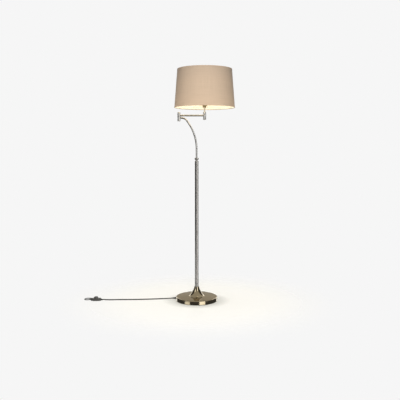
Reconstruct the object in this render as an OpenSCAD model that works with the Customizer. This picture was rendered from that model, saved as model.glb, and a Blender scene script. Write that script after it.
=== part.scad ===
// Swing-arm reading lamp for the floor: a bowed tube and a level arm carry a drum shade
// beside a tall pole on a heavy round base. Millimetres, Z up, the floor at z = 0.
// The pole stands on the Z axis and the arm points along +X at rest.

/* [Base] */
// Outside diameter of the base
base_d = 280; // [250:5:340]
// Height of the base's rim
rim_h = 29; // [27:0.5:36]
// Radius of the rim's upper edge
rim_round = 7; // [3:0.5:9]
// Thickness of the spun cover
cover_wall = 1.5; // [1.2:0.1:2]
// Rise of the top face from the rim to the foot of the neck
top_rise = 4.5; // [2:0.5:8]
// Radius at which the neck's flare ends
flare_r = 60; // [50:1:80]
// Outside diameter of the neck
neck_d = 34; // [33:0.5:40]
// Height of the neck's top
neck_h = 96; // [80:1:130]
// Thickness of the felt pad
pad_t = 3; // [2.5:0.5:5]
// Thickness of the cast disc
weight_t = 13; // [12.5:0.5:16]
// Height of the cast disc's middle boss above the disc
boss_h = 8; // [5:1:10]
// Width of the cover's rolled hem
hem_w = 6; // [5:0.5:10]

/* [Pole] */
// Outside diameter of the pole
pole_d = 25; // [22:0.5:29]
// Wall of the pole
pole_wall = 1.2; // [0.8:0.1:1.4]
// Height of the pole's top, with its cap
pole_h = 946; // [760:1:1120]
// Height of the cap's visible band
cap_h = 6; // [5:0.5:10]
// Diameter of the slim neck on the cap
cap_neck_d = 15; // [14.5:0.5:18]
// Height of the slim neck on the cap
cap_neck_h = 6; // [4:0.5:10]

/* [Bow and arm] */
// Outside diameter of the bowed tube and of the arm
tube_d = 12; // [10.5:0.5:12.5]
// Wall of the bowed tube and of the arm
tube_wall = 1; // [0.8:0.1:1.2]
// Straight length of the bowed tube above the pole cap's neck
bow_rise = 69; // [50:1:120]
// Radius of the long bend
bow_bend = 310; // [220:5:350]
// Angle of the long bend
bow_lean = 38; // [30:1:42]
// Radius of the short bend that brings the tube level
bow_hook = 45; // [38:1:60]
// Length of the bow's level end between its bend and the knuckle's centre
bow_end = 16; // [15:0.5:30]
// Distance between the two upright knuckles
arm_len = 170; // [140:5:260]
// Diameter of the bead at the foot of the bow
bead_d = 28; // [24:0.5:34]
// Height of the bead
bead_h = 13; // [11:0.5:18]
// Angle that each swivel turns to either side
swing = 165; // [90:5:165]

/* [Knuckles] */
// Outside diameter of the knuckles
knuckle_d = 20; // [19:0.5:24]
// Height of each half of the elbow knuckle
elbow_half = 30; // [26:0.5:36]
// Length of the head knuckle below the arm's centre line
head_drop = 29; // [24:0.5:36]
// Length of the head knuckle above the arm's centre line
head_rise = 26; // [24.5:0.5:34]
// Diameter of the stem
stem_d = 10; // [9.5:0.5:10.5]
// Height of the stem's top above the arm's centre line
stem_rise = 58; // [54:1:90]

/* [Shade] */
// Outside diameter of the shade's lower edge
shade_low_d = 400; // [340:5:480]
// Outside diameter of the shade's upper edge
shade_top_d = 360; // [300:5:460]
// Height of the shade
shade_h = 251; // [240:1:310]
// Height of the shade's lower edge above the arm's centre line
shade_lift = 51; // [45:1:60]
// Thickness of the shade's fabric
fabric_t = 1.2; // [0.8:0.1:2]
// Thickness of the shade's lining
lining_t = 0.6; // [0.4:0.1:1]
// Diameter of the shade's wires
wire_d = 3; // [2.5:0.5:4]

/* [Lamp holder] */
// Outside diameter of the lamp holder
holder_d = 31; // [30:0.5:33]
// Distance from the stem to each ferrule of the harp
saddle_r = 19; // [18.5:0.5:24]
// Largest width of the harp
harp_w = 90; // [80:2:110]
// Diameter of the bulb
bulb_d = 60; // [50:1:66]

/* [Foot switch] */
// Length of the foot switch
switch_l = 70; // [64:1:84]
// Width of the foot switch
switch_w = 34; // [33:1:40]
// Height of the foot switch's housing
switch_h = 18; // [17:1:22]
// Diameter of the round pedal
pedal_d = 27; // [22:0.5:27]
// Height of the pedal's crown above the floor
pedal_top = 29; // [25:1:34]

/* [Cord] */
// Diameter of the mains cord
cord_d = 6; // [5:0.5:6.5]
// Length of the tapered strain relief outside the rim
relief_l = 23; // [20:1:40]

/* [Hidden] */
$fn = 48;

// Clearances
running_fit = 0.05;   // radial, between a turning pin or tube and its bore
still_fit = 0.1;      // radial, between pieces that are fixed to each other
swivel_gap = 0.4;     // upright, between the two faces of a swivel
washer_slack = 0.05;  // above a slip washer inside that gap
seat_gap = 0.2;       // between stacked pieces that a screw pulls together

// Base
base_r = base_d / 2;
neck_r = neck_d / 2;
neck_round = 2.5;
flare_pull = 14;
flare_reach = 17;
hem_z = pad_t - cover_wall;
foot_round = 3;
top_slope = atan2(top_rise, base_r - flare_r);
weight_r = base_r - cover_wall - 0.4;
weight_z = pad_t + weight_t;
boss_r = 30;
pole_z = weight_z + boss_h;
stud_r = 4.9;
stud_bore_r = 3;
recess_r = 18;
recess_h = 9;
nut_flange = 1.5;
nut_t = 6.5;
foot_l = 30;

// Pole
pole_r = pole_d / 2;
pole_bore_r = pole_r - pole_wall;
tube_r = tube_d / 2;
tube_bore_r = tube_r - tube_wall;
cap_plug_l = 25;
cap_neck_z = pole_h + cap_neck_h;
bush_l = 20;
bush_z = pole_h - 63;
ring_l = 8;
ring_z = bush_z + bush_l + swivel_gap;
ring_r = 10;
spigot_low = bush_z - 16;
bead_z = cap_neck_z + swivel_gap;
spigot_top = bead_z + bead_h - 5;

// Bow, from its straight part to its level end
bow_z = cap_neck_z + bow_rise;
lean_x = -bow_bend * (1 - cos(bow_lean));
lean_z = bow_z + bow_bend * sin(bow_lean);
hook_x = lean_x - bow_hook * cos(bow_lean);
end_z = lean_z + bow_hook * (1 - sin(bow_lean));
elbow_x = hook_x - bow_end;

// Knuckles
knuckle_r = knuckle_d / 2;
cavity_r = 7.5;
web_t = 4.4;
tube_lip = 1.85;
split_z = end_z + tube_r + tube_lip;
lower_top = split_z - swivel_gap / 2;
upper_low = split_z + swivel_gap / 2;
arm_z = split_z + tube_r + tube_lip;
head_x = elbow_x + arm_len;
tube_seat = cavity_r + 0.5;
elbow_low = split_z - elbow_half;
elbow_top = split_z + elbow_half;
low_cap_h = 2.5;
top_cap_h = 6;
cap_spigot = 4;
pivot_r = 4;
pivot_bore_r = 2.5;
flange_r = 6;
flange_t = 1;
pin_r = 1;
lead_r = 1.5;
lead_bend = 4;
lead_way = 2.8;
elbow_pin_at = 6.3;
groove_half = 1.2;
lug = 180 - swing;
stem_r = stem_d / 2;
stem_bore_r = stem_r - 1.5;
head_low = arm_z - head_drop;
head_top = arm_z + head_rise;
collar_h = 5.5;
barrel_top = head_top - collar_h - swivel_gap;
stem_low = arm_z + 5;
stem_top = arm_z + stem_rise;
head_pin_at = 7.6;
stem_nut_t = 4;
stem_nut_z = barrel_top - web_t - swivel_gap - stem_nut_t;

// Lamp holder and harp
saddle_z = stem_top - 8;
saddle_t = 2;
saddle_w = 12;
saddle_tip = saddle_z + 15;
holder_r = holder_d / 2;
holder_z = saddle_z + saddle_t;
holder_cone = 16;
holder_l = 60;
holder_wall = 0.8;
insert_z = holder_z + holder_cone + 1;
insert_l = 14;
screw_z = insert_z + insert_l;
screw_l = 26;
screw_r = 13.9;
screw_wall = 0.5;
bulb_z = screw_z + 4;
bulb_cap_l = 23;
bulb_cap_r = 13.1;
bulb_r = bulb_d / 2;
globe_z = bulb_z + bulb_cap_l + 48;

// Shade
shade_z = arm_z + shade_lift;
shade_top = shade_z + shade_h;
low_r = shade_low_d / 2;
top_r = shade_top_d / 2;
lining_gap = 0.15;
lining_r = fabric_t + lining_gap;
shade_step = lining_r + lining_t;
wire_r = wire_d / 2;
ring_in = shade_step + wire_r + 0.4;
hub_z = shade_top - 20;
hub_r = 12;
hub_t = 2;
harp_top = hub_z - 0.2;
harp_half = harp_w / 2;
harp_leg = 12;
harp_dip = acos(saddle_r / harp_half);
harp_high = (harp_top - wire_r - saddle_tip - harp_leg) / (1 + sin(harp_dip));
harp_mid = harp_top - wire_r - harp_high;
stud_up = 12;

// Foot switch
switch_x = -682;
switch_y = -6;
switch_wall = 1.6;
switch_seam = 9;
nozzle_l = 12;
nozzle_in = 9;
nozzle_z = 7;
pedal_flange = 1.6;
pedal_low = switch_h - switch_wall - 0.4 - pedal_flange;
spring_r = 4.5;
spring_wire_r = 0.4;
block_z = 2;
block_h = 5;

// Cord: each route's points are joined by one smooth curve
cord_r = cord_d / 2;
cord_z = 9;
exit_dir = [-7, 1, 0] / norm([-7, 1, 0]);
exit_at = atan2(exit_dir[1], exit_dir[0]);
exit_tip = exit_dir * (base_r + relief_l) + [0, 0, cord_z];
nozzle_tip = switch_l / 2 + nozzle_l;
right_tip = [switch_x + nozzle_tip, switch_y, nozzle_z];
left_tip = [switch_x - nozzle_tip, switch_y, nozzle_z];
cord_a = concat([exit_tip], [
  [-182, 26, 7.4], [-205, 28, 5], [-235, 27, 3.3], [-270, 22, 3.1], [-310, 17, 3.1], [-350, 12, 3.1],
  [-390, 8, 3.1], [-430, 5, 3.1], [-470, 4, 3.1], [-510, 3, 3.1], [-550, 1, 3.1], [-590, -3, 3.5],
  [-615, -6, 5.4]], [right_tip]);
cord_b = concat([left_tip], [
  [-740, -6, 5], [-752, -1, 3.5], [-762, 9, 3.1], [-765, 21, 3.1], [-760, 34, 3.1], [-748, 42, 3.1],
  [-733, 43, 3.1], [-715, 38, 3.1], [-690, 27, 3.1], [-660, 18, 3.1], [-630, 10, 3.1], [-600, 5.4, 3.1],
  [-570, 6.4, 3.1], [-530, 9, 3.1], [-490, 10.3, 3.1], [-450, 11.2, 3.1], [-410, 13.2, 3.1],
  [-370, 16.6, 3.1], [-330, 21.2, 3.1], [-290, 26.2, 3.1], [-255, 31.2, 3.1], [-225, 35, 3.1],
  [-195, 39, 3.1], [-165, 51, 3.1], [-142, 68, 3.1], [-118, 92, 3.1], [-95, 114, 3.1], [-72, 130, 3.5],
  [-50, 141, 4], [-30, 146, 4.2]]);
cord_tail = [[40, 146, 10], [52, 141, 9], [62, 136, 8], [72, 135, 7.5]];
hank_y = 170;
hank_run = 90;
hank_r = 27;
hank_z = 1.2;
hank_h = 12;
tie_w = 10;
tie_t = 1;
tie_gap = 0.15;
plug_x = 68;
plug_y = 135;
plug_l = 26;
plug_w = 17;
plug_h = 13;
blade_l = 17;
blade_w = 6.3;
blade_t = 1.5;
blade_apart = 12.7;

bronze = [0.45, 0.42, 0.36];
dark = [0.25, 0.24, 0.22];
steel = [0.72, 0.72, 0.7];
brass = [0.8, 0.65, 0.35];
black = [0.12, 0.12, 0.12];
grey = [0.42, 0.41, 0.39];
cream = [0.86, 0.76, 0.65];

// Points of an arc about [x, z], on an outline
function arc(x, z, r, from, to, steps = 6) =
  [for (i = [0:steps]) let (a = from + (to - from) * i / steps) [x + r * cos(a), z + r * sin(a)]];

// Points of a cubic curve between p and s that leaves towards q and arrives from r
function curve(p, q, r, s, steps = 20) =
  [for (i = [0:steps]) let (t = i / steps, u = 1 - t)
    u * u * u * p + 3 * u * u * t * q + 3 * u * t * t * r + t * t * t * s];

// The base cover's outline from the neck to the hem, moved inwards by a wall
function cover_line(wall) = concat(
  [[pole_r + still_fit, neck_h - wall]],
  arc(neck_r - neck_round, neck_h - neck_round, neck_round - wall, 90, 0),
  curve([neck_r - wall, neck_h - neck_round - 1], [neck_r - wall, neck_h - neck_round - flare_pull],
    [flare_r - flare_reach, rim_h + top_rise + flare_reach * tan(top_slope) - wall],
    [flare_r, rim_h + top_rise - wall]),
  arc(base_r - rim_round, rim_h - rim_round, rim_round - wall, 90 - top_slope, 0),
  arc(base_r - foot_round, hem_z + foot_round, foot_round - wall, 0, -90),
  [[base_r - hem_w, hem_z + wall]]);

// The same kind of arc as points in space, in the plane of the bow
function bend(x, z, r, from, to, steps) = [for (p = arc(x, z, r, from, to, steps)) [p[0], 0, p[1]]];

// The bow's centre line above its straight foot, as far as the middle of its last bend
bow_line = concat(bend(-bow_bend, bow_z, bow_bend, 0, bow_lean, 14),
  bend(hook_x, end_z - bow_hook, bow_hook, bow_lean + 6, 90, 9));

function reversed(list) = [for (i = [len(list) - 1:-1:0]) list[i]];

function unit(v) = v / norm(v);

// One smooth curve through the points p, with k steps from each point to the next
function spline(p, k) = let (n = len(p) - 1) concat(
  [for (i = [0:n - 1], j = [0:k - 1])
    let (t = j / k,
      a = i == 0 ? 2 * p[0] - p[1] : p[i - 1],
      d = i == n - 1 ? 2 * p[n] - p[n - 1] : p[i + 2])
    0.5 * (2 * p[i] + (p[i + 1] - a) * t + (2 * a - 5 * p[i] + 4 * p[i + 1] - d) * t * t
      + (3 * p[i] - a - 3 * p[i + 1] + d) * t * t * t)],
  [p[n]]);

// Rings of points about the route p; upright is a direction that the route never takes
function rings(p, r, sides, upright) = let (last = len(p) - 1)
  [for (i = [0:last])
    let (t = unit(p[min(i + 1, last)] - p[max(i - 1, 0)]), s = unit(cross(upright, t)), u = cross(t, s))
    for (j = [0:sides - 1]) p[i] + r * (cos(360 * j / sides) * s + sin(360 * j / sides) * u)];

// Faces between the rings, whose points start at first
function walls(count, sides, first = 0) =
  [for (i = [0:count - 2], j = [0:sides - 1])
    let (a = first + i * sides, b = a + sides, k = (j + 1) % sides) [a + j, b + j, b + k, a + k]];

// A solid round rod along the points p
module sweep(p, r, sides, upright = [0, 0, 1]) {
  last = (len(p) - 1) * sides;
  ends = [[for (j = [0:sides - 1]) j], [for (j = [sides - 1:-1:0]) last + j]];
  polyhedron(rings(p, r, sides, upright), concat(walls(len(p), sides), ends), convexity = 6);
}

// A round tube along the points p
module sweep_tube(p, r, bore, sides, upright) {
  inner = len(p) * sides;
  last = inner - sides;
  ends = [for (j = [0:sides - 1]) let (k = (j + 1) % sides)
    each [[j, k, inner + k, inner + j], [last + k, last + j, inner + last + j, inner + last + k]]];
  polyhedron(concat(rings(p, r, sides, upright), rings(p, bore, sides, upright)),
    concat(walls(len(p), sides), [for (f = walls(len(p), sides, inner)) reversed(f)], ends), convexity = 6);
}

module ring(low, high, outer, inner) {
  translate([0, 0, low]) difference() {
    cylinder(h = high - low, r = outer);
    translate([0, 0, -1]) cylinder(h = high - low + 2, r = inner);
  }
}

module rod(low, high, r) {
  translate([0, 0, low]) cylinder(h = high - low, r = r);
}

// A level rod along +X
module level_rod(from, to, z, r) {
  translate([from, 0, z]) rotate([0, 90, 0]) cylinder(h = to - from, r = r);
}

// The groove in which a stop pin travels, open over everything but its lug
module stop_groove(at, low, high) {
  half = asin((pin_r + still_fit) / at);
  translate([0, 0, low]) rotate([0, 0, lug - half])
    rotate_extrude(angle = 360 - 2 * (lug - half)) translate([at - groove_half, 0])
      square([2 * groove_half, high - low]);
}

module stadium(run, r) {
  translate([-run / 2, -r]) square([run, 2 * r]);
  for (side = [-1, 1]) translate([side * run / 2, 0]) circle(r = r);
}

module at_exit() rotate([0, 0, exit_at]) translate([0, 0, cord_z]) rotate([0, 90, 0]) children();

// ---- Base ----

module base_cover() color(bronze) difference() {
  rotate_extrude() polygon(concat(cover_line(0), reversed(cover_line(cover_wall))));
  at_exit() rod(base_r - 8, base_r + 8, cord_r + 1.6);
}

module base_weight() color(dark) difference() {
  rotate_extrude() polygon([[stud_r + 0.3, pad_t], [weight_r - 2, pad_t], [weight_r, pad_t + 2],
    [weight_r, weight_z], [boss_r, weight_z], [boss_r, pole_z], [stud_r + 0.3, pole_z]]);
  rod(pad_t - 1, pad_t + recess_h, recess_r);
  rotate([0, 0, exit_at]) {
    translate([0, -cord_r - 2, pad_t - 1]) cube([base_r, cord_d + 4, cord_z + cord_r + 1.5 - pad_t]);
    translate([80, -16, pad_t - 1]) cube([16, 32, cord_z - cord_r - pad_t + 2]);
  }
  at_exit() rod(base_r - 8, base_r, cord_r + 3);
  clamp_holes();
}

module clamp_holes() {
  rotate([0, 0, exit_at]) for (side = [-1, 1]) translate([88, side * 11, 0])
    rod(pad_t + 0.1, pad_t + 10, 2 + still_fit);
}

module base_pad() color(black) rod(0, pad_t, base_r - hem_w - 0.3);

module tie_stud() color(steel) ring(pad_t + 1, pole_z + foot_l - 5, stud_r, stud_bore_r);

// Hex nut with a broad flange, in the recess under the disc
module tie_nut() color(steel) difference() {
  union() {
    translate([0, 0, pad_t + recess_h - nut_t]) cylinder(h = nut_t, r = 9.2, $fn = 6);
    rod(pad_t + recess_h - nut_flange, pad_t + recess_h, 13);
  }
  rod(0, 30, stud_r + still_fit);
}

module cord_bushing() color(black) at_exit() difference() {
  union() {
    rod(base_r - 6, base_r - 2, cord_r + 2.8);
    rod(base_r - 4, base_r + 1, cord_r + 1.4);
    rod(base_r + 0.2, base_r + 3, cord_r + 3);
    translate([0, 0, base_r + 3]) cylinder(h = relief_l - 3, r1 = cord_r + 2.2, r2 = cord_r + 0.7);
  }
  rod(base_r - 8, base_r + relief_l + 1, cord_r + still_fit);
}

module cord_clamp() color(steel) difference() {
  rotate([0, 0, exit_at]) translate([81, -15, pad_t + 0.2]) cube([14, 30, cord_z - cord_r - pad_t - 0.3]);
  clamp_holes();
}

module clamp_screws() color(steel) rotate([0, 0, exit_at]) for (side = [-1, 1])
  translate([88, side * 11, 0]) rod(pad_t + 1, pad_t + 9, 2);

module stand_lead() color(grey) {
  at_exit() rod(recess_r - 3, base_r + relief_l - 0.3, cord_r);
  rod(pad_t + 1, spigot_low - 2, lead_r);
}

// ---- Pole ----

module pole_tube() color(bronze) ring(pole_z, pole_h - cap_h, pole_r, pole_bore_r);

module pole_foot() color(steel)
  ring(pole_z + seat_gap, pole_z + foot_l, pole_bore_r - still_fit, stud_r + still_fit);

module pole_cap() color(bronze) rotate_extrude() polygon(concat(
  [[tube_r + running_fit, pole_h - cap_h - cap_plug_l], [pole_bore_r - still_fit, pole_h - cap_h - cap_plug_l],
    [pole_bore_r - still_fit, pole_h - cap_h], [pole_r, pole_h - cap_h]],
  arc(pole_r - 3, pole_h - 3, 3, 0, 90),
  [[cap_neck_d / 2, pole_h], [cap_neck_d / 2, cap_neck_z], [tube_r + running_fit, cap_neck_z]]));

module bow_bush() color(brass) difference() {
  ring(bush_z, bush_z + bush_l, pole_bore_r - still_fit, tube_r + running_fit);
  stop_groove(8.7, bush_z + bush_l - 4.5, bush_z + bush_l + 1);
}

module neck_washer() color(black)
  ring(cap_neck_z, cap_neck_z + swivel_gap - washer_slack, cap_neck_d / 2 - 0.2, tube_r + 0.3);

// ---- Bow ----

module bow_spigot() color(steel) ring(spigot_low, spigot_top, tube_r, tube_bore_r);

module bow_tube() color(bronze) sweep_tube(
  concat([[0, 0, spigot_top + seat_gap]], bow_line, [[elbow_x + tube_seat, 0, end_z]]),
  tube_r, tube_bore_r, 20, [0, 1, 0]);

module bow_bead() color(bronze) difference() {
  rotate_extrude() polygon(concat([[tube_r + still_fit, bead_z]],
    arc(bead_d / 2 - 4, bead_z + 4, 4, -90, 0),
    arc(bead_d / 2 - 4, bead_z + bead_h - 4, 4, 0, 90),
    [[tube_r + still_fit, bead_z + bead_h]]));
  translate([0, 0, bead_z + bead_h / 2]) rotate([-90, 0, 0]) cylinder(h = bead_d, r = 2);
}

module bow_stop_ring() color(steel) {
  difference() {
    ring(ring_z, ring_z + ring_l, ring_r, tube_r + still_fit);
    translate([0, 0, ring_z + ring_l / 2]) rotate([-90, 0, 0]) cylinder(h = bead_d, r = 1.5);
  }
  translate([-8.7, 0, 0]) rod(ring_z - swivel_gap - 4, ring_z + 1, pin_r);
}

module bow_screws() color(steel) {
  translate([0, tube_r + 0.1, bead_z + bead_h / 2]) rotate([-90, 0, 0]) cylinder(h = 6, r = 1.95);
  translate([0, tube_r + 0.1, ring_z + ring_l / 2]) rotate([-90, 0, 0]) cylinder(h = 3.5, r = 1.45);
}

module bow_lead() color(black) sweep(
  concat([[0, 0, spigot_low - 1]], bow_line, bend(elbow_x + lead_bend, end_z + lead_bend, lead_bend, 270, 180, 6)),
  lead_r, 8, [0, 1, 0]);

// ---- Elbow knuckle ----

module elbow_lower() color(bronze) difference() {
  translate([elbow_x, 0, 0]) difference() {
    rod(elbow_low + low_cap_h, lower_top, knuckle_r);
    rod(elbow_low, lower_top - web_t, cavity_r);
    rod(elbow_low, lower_top + 1, pivot_r + running_fit);
    translate([-elbow_pin_at, 0, 0]) rod(lower_top - 3.5, lower_top + 1, pin_r);
  }
  level_rod(elbow_x + tube_seat, elbow_x + 20, end_z, tube_r);
  level_rod(elbow_x + 2, elbow_x + tube_seat + 1, end_z, lead_way);
}

// A round plug that closes a knuckle; it stands on z = 0 with its spigot above
module knuckle_cap(height, edge) {
  rotate_extrude() polygon(concat(
    [[0, 0]], arc(knuckle_r - edge, edge, edge, -90, 0),
    [[knuckle_r, height], [cavity_r - still_fit, height], [cavity_r - still_fit, height + cap_spigot],
      [0, height + cap_spigot]]));
}

module elbow_low_cap() color(bronze) translate([elbow_x, 0, elbow_low]) knuckle_cap(low_cap_h, 1.5);

module elbow_washer() color(black) translate([elbow_x, 0, 0])
  ring(lower_top, upper_low - washer_slack, knuckle_r - 0.4, elbow_pin_at + groove_half + 0.2);

module elbow_pin() color(steel) translate([elbow_x - elbow_pin_at, 0, 0])
  rod(lower_top - 3.5, upper_low + 2.2, pin_r);

module elbow_upper() color(bronze) difference() {
  translate([elbow_x, 0, 0]) difference() {
    rod(upper_low, elbow_top - top_cap_h, knuckle_r);
    rod(upper_low + web_t, elbow_top, cavity_r);
    rod(upper_low - 1, elbow_top, pivot_r + still_fit);
    stop_groove(elbow_pin_at, upper_low - 1, upper_low + 2.6);
  }
  level_rod(elbow_x + tube_seat, elbow_x + 20, arm_z, tube_r + still_fit);
  level_rod(elbow_x + 2, elbow_x + tube_seat + 1, arm_z, lead_way);
}

module elbow_top_cap() color(bronze)
  translate([elbow_x, 0, elbow_top]) mirror([0, 0, 1]) knuckle_cap(top_cap_h, 5);

module elbow_pivot() color(steel) translate([elbow_x, 0, 0]) {
  ring(lower_top - web_t - swivel_gap - flange_t, lower_top - web_t - swivel_gap, flange_r, pivot_bore_r);
  ring(lower_top - web_t - swivel_gap, upper_low + web_t, pivot_r, pivot_bore_r);
}

// ---- Arm and head knuckle ----

module arm_tube() color(bronze) difference() {
  level_rod(elbow_x + tube_seat, head_x - tube_seat, arm_z, tube_r);
  level_rod(elbow_x, head_x, arm_z, tube_bore_r);
}

module arm_lead() color(black) sweep(
  concat([[elbow_x, 0, end_z + lead_bend + 0.5]],
    bend(elbow_x + lead_bend, arm_z - lead_bend, lead_bend, 180, 90, 6),
    bend(head_x - lead_bend, arm_z + lead_bend, lead_bend, 270, 360, 6),
    [[head_x, 0, stem_low + 1]]), lead_r, 8, [0, 1, 0]);

module head_barrel() color(bronze) difference() {
  translate([head_x, 0, 0]) difference() {
    rod(head_low + low_cap_h, barrel_top, knuckle_r);
    rod(head_low, barrel_top - web_t, cavity_r);
    rod(head_low, barrel_top + 1, stem_r + running_fit);
    translate([-head_pin_at, 0, 0]) rod(barrel_top - 3.5, barrel_top + 1, pin_r);
  }
  level_rod(head_x - 20, head_x - tube_seat, arm_z, tube_r + still_fit);
  level_rod(head_x - tube_seat - 1, head_x - 2, arm_z, lead_way);
}

module head_low_cap() color(bronze) translate([head_x, 0, head_low]) knuckle_cap(low_cap_h, 1.5);

module head_lead() color(black) translate([head_x, 0, 0]) rod(stem_low + 1.4, screw_z - 1, lead_r);

module head_pin() color(steel) translate([head_x - head_pin_at, 0, 0])
  rod(barrel_top - 3.5, barrel_top + swivel_gap + 1.8, pin_r);

// ---- Stem, saddle and harp ----

module stem_tube() color(bronze) translate([head_x, 0, 0]) ring(stem_low, stem_top, stem_r, stem_bore_r);

module stem_collar() color(bronze) translate([head_x, 0, 0]) difference() {
  rotate_extrude() polygon(concat(
    [[stem_r + still_fit, barrel_top + swivel_gap], [knuckle_r, barrel_top + swivel_gap]],
    arc(knuckle_r - 4.5, head_top - 4.5, 4.5, 0, 75),
    [[stem_r + still_fit, head_top]]));
  stop_groove(head_pin_at, barrel_top, barrel_top + swivel_gap + 2.2);
}

// The hex nut inside the head knuckle and the round one under the saddle
module stem_nuts() color(steel) translate([head_x, 0, 0]) difference() {
  union() {
    translate([0, 0, stem_nut_z]) cylinder(h = stem_nut_t, r = cavity_r - 0.3, $fn = 6);
    rod(saddle_z - 4, saddle_z, 8);
  }
  rod(stem_low, stem_top, stem_r + still_fit);
}

// Bent strip: flat under the lamp holder, with two wings that carry the harp
module harp_saddle() color(bronze) translate([head_x, 0, 0]) difference() {
  translate([0, saddle_w / 2, 0]) rotate([90, 0, 0]) linear_extrude(saddle_w) polygon([
    [-10, saddle_z], [10, saddle_z], [saddle_r + 1, saddle_tip - 6], [saddle_r + 1, saddle_tip],
    [saddle_r - 1, saddle_tip], [saddle_r - 1, saddle_tip - 5.4], [9, saddle_z + saddle_t],
    [-9, saddle_z + saddle_t], [1 - saddle_r, saddle_tip - 5.4], [1 - saddle_r, saddle_tip],
    [-1 - saddle_r, saddle_tip], [-1 - saddle_r, saddle_tip - 6]]);
  rod(saddle_z - 1, saddle_z + saddle_t + 1, stem_r + still_fit);
}

module harp() color(brass) translate([head_x, 0, 0]) {
  turns = 32;
  loop = [for (i = [0:turns]) let (a = 180 + harp_dip - (180 + 2 * harp_dip) * i / turns)
    [harp_half * cos(a), 0, harp_mid + harp_high * sin(a)]];
  sweep(concat([[-saddle_r, 0, saddle_tip + 0.5]], loop, [[saddle_r, 0, saddle_tip + 0.5]]),
    wire_r, 10, [0, 1, 0]);
  rod(harp_top - 2 * wire_r, harp_top + stud_up, 3);
}

module harp_ferrules() color(brass) translate([head_x, 0, 0]) for (side = [-1, 1])
  translate([side * saddle_r, 0, 0]) ring(saddle_tip, saddle_tip + 10, 2.6, wire_r + still_fit);

// ---- Lamp holder and bulb ----

module holder_shell() color(brass) translate([head_x, 0, 0]) rotate_extrude() polygon([
  [stem_r + still_fit, holder_z], [8.5, holder_z], [holder_r, holder_z + holder_cone],
  [holder_r, holder_z + holder_l], [holder_r - holder_wall, holder_z + holder_l],
  [holder_r - holder_wall, holder_z + holder_cone + 0.4], [8, holder_z + holder_wall],
  [stem_r + still_fit, holder_z + holder_wall]]);

module holder_insert() color(black) translate([head_x, 0, 0])
  ring(insert_z, screw_z, holder_r - holder_wall - 1.6, lead_r + 0.2);

module screw_shell() color(brass) translate([head_x, 0, 0]) {
  ring(screw_z, screw_z + screw_l, screw_r, screw_r - screw_wall);
  rod(screw_z, bulb_z - 1, 3);
}

module bulb_cap() color(steel) translate([head_x, 0, 0]) {
  rod(bulb_z, bulb_z + bulb_cap_l, bulb_cap_r);
  rod(bulb_z - 1, bulb_z, 4);
}

// Outline of the bulb's glass, moved inwards by a wall
function bulb_line(wall) = concat(
  curve([bulb_cap_r - 0.4 - wall, bulb_z + bulb_cap_l], [bulb_cap_r - 0.4 - wall, bulb_z + bulb_cap_l + 14],
    [(bulb_r - wall) * cos(-35) - 9, globe_z - (bulb_r - wall) * sin(35) - 13],
    [(bulb_r - wall) * cos(-35), globe_z - (bulb_r - wall) * sin(35)], 10),
  arc(0, globe_z, bulb_r - wall, -30, 90, 16));

module bulb_glass() color([0.95, 0.93, 0.88, 0.6]) translate([head_x, 0, 0]) rotate_extrude()
  polygon(concat(bulb_line(0), reversed(bulb_line(0.8))));

module finial() color(brass) translate([head_x, 0, 0]) difference() {
  rotate_extrude() polygon(concat([[0, hub_z + hub_t], [5, hub_z + hub_t], [3.5, hub_z + hub_t + 4]],
    arc(0, hub_z + hub_t + 10, 6, -50, 90, 10)));
  rod(hub_z, harp_top + stud_up + 0.5, 3 + still_fit);
}

// ---- Shade ----

module shade_fabric() color(cream) translate([head_x, 0, 0]) rotate_extrude() polygon([
  [low_r, shade_z], [top_r, shade_top], [top_r - fabric_t, shade_top], [low_r - fabric_t, shade_z]]);

module shade_lining() color("ivory") translate([head_x, 0, 0]) rotate_extrude() polygon([
  [low_r - lining_r, shade_z + 1], [top_r - lining_r, shade_top - 1],
  [top_r - shade_step, shade_top - 1], [low_r - shade_step, shade_z + 1]]);

// Two wire rings and the three-legged spider that hangs the shade on the harp
module shade_frame() color(steel) translate([head_x, 0, 0]) {
  low_ring = low_r - ring_in;
  top_ring = top_r - ring_in;
  reach = top_ring - hub_r + 2;
  climb = shade_top - 3 - hub_z - hub_t / 2;
  translate([0, 0, shade_z + 3]) rotate_extrude() translate([low_ring, 0]) circle(r = wire_r);
  translate([0, 0, shade_top - 3]) rotate_extrude() translate([top_ring, 0]) circle(r = wire_r);
  ring(hub_z, hub_z + hub_t, hub_r, 3.3);
  for (leg = [0:2]) rotate([0, 0, 30 + 120 * leg]) translate([hub_r - 2, 0, hub_z + hub_t / 2])
    rotate([0, 90 - atan2(climb, reach), 0]) cylinder(h = norm([reach, climb]), r = wire_r - 0.2);
}

// ---- Foot switch ----

module at_switch() translate([switch_x, switch_y, 0]) children();

module switch_shell(low, high, roof) {
  difference() {
    translate([0, 0, low]) linear_extrude(high - low) stadium(switch_l - switch_w, switch_w / 2);
    translate([0, 0, roof ? low - 1 : low + switch_wall]) linear_extrude(high - low - switch_wall + 1)
      stadium(switch_l - switch_w, switch_w / 2 - switch_wall);
    for (side = [0, 1]) mirror([side, 0, 0])
      level_rod(switch_l / 2 - 4, switch_l / 2 + 1, nozzle_z, cord_r + 2 + still_fit);
  }
}

module switch_lower() color(grey) at_switch() switch_shell(0, switch_seam, false);

module switch_upper() color(grey) at_switch() difference() {
  switch_shell(switch_seam, switch_h, true);
  rod(switch_seam, switch_h + 1, pedal_d / 2 + 0.4);
}

module switch_pedal() color(dark) at_switch() {
  rotate_extrude() polygon(concat([[0, pedal_low], [pedal_d / 2 + 1.2, pedal_low],
    [pedal_d / 2 + 1.2, pedal_low + pedal_flange], [pedal_d / 2, pedal_low + pedal_flange]],
    arc(pedal_d / 2 - 5, pedal_top - 6.5, 5, 0, 55), [[0, pedal_top]]));
}

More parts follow.
